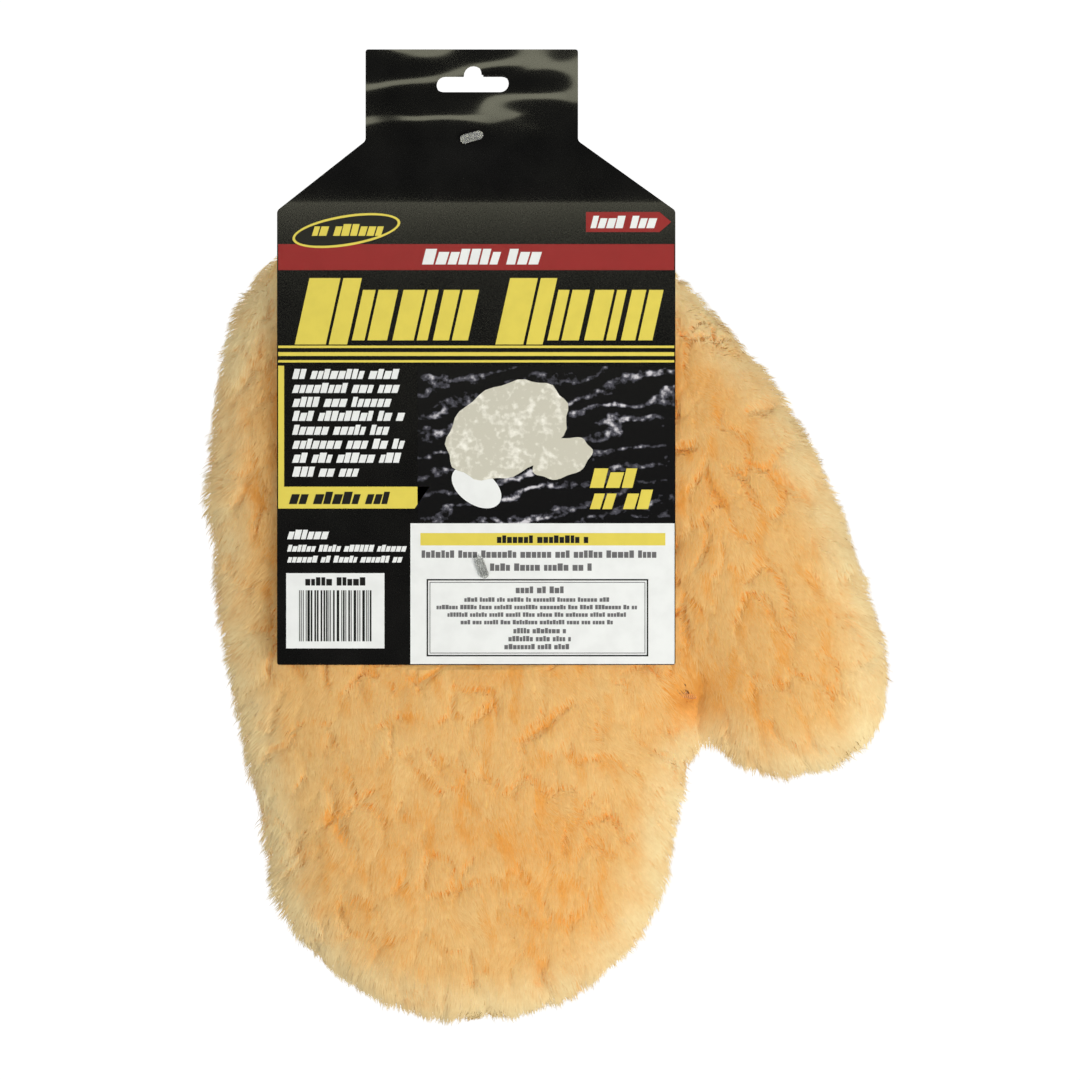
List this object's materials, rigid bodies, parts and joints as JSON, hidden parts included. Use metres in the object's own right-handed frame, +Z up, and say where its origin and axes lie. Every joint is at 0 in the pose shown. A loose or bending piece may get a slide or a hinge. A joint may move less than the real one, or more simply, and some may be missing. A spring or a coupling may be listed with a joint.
{
  "type": "wash mitt",
  "caption": "Plush car-washing mitt with a separate thumb and ribbed knit cuff, tagged to a die-cut hanging header card.",
  "frame": {"origin": "centre of the card's hang slot, in the middle of the front leaf's thickness", "axes": "+Z up as it hangs, -Y out of the printed face, +X towards the thumb"},
  "size_m": [0.2357, 0.0458, 0.3305],
  "materials": {
    "card_board": "printed board with a glossy varnish, near black",
    "clear_nylon": "translucent moulded nylon",
    "white_rib_knit": "white two-by-two rib knit, doubled",
    "white_thread": "overlock thread",
    "honey_pile": "dense synthetic wool pile in soft clumps, honey gold with paler tips",
    "knit_backing": "fine knitted ground fabric",
    "orange_thread": "sewing thread over a turned-in seam allowance"
  },
  "bodies": {
    "card": {"header_card": "card_board"},
    "mitt": {"cuff": "white_rib_knit", "cuff_seam": "white_thread", "front_pile": "honey_pile", "rear_pile": "honey_pile", "front_backing": "knit_backing", "rear_backing": "knit_backing", "palm_seam": "orange_thread", "thumb_seam": "orange_thread", "thumb_bartack": "orange_thread"},
    "upper_pin": {"upper_tag_pin": "clear_nylon"},
    "lower_pin": {"lower_tag_pin": "clear_nylon"}
  },
  "joints": [
    {"name": "mitt_swing", "type": "hinge", "parent": "card", "child": "mitt", "pos_m": [0, 0.0009, -0.0182], "axis": [1, 0, 0], "range_deg": [0, 4]},
    {"name": "upper_pin_spin", "type": "hinge", "parent": "card", "child": "upper_pin", "pos_m": [0, 0, -0.0182], "axis": [0, 1, 0], "continuous": true},
    {"name": "lower_pin_spin", "type": "hinge", "parent": "card", "child": "lower_pin", "pos_m": [0.0034, 0, -0.1639], "axis": [0, 1, 0], "continuous": true}
  ]
}
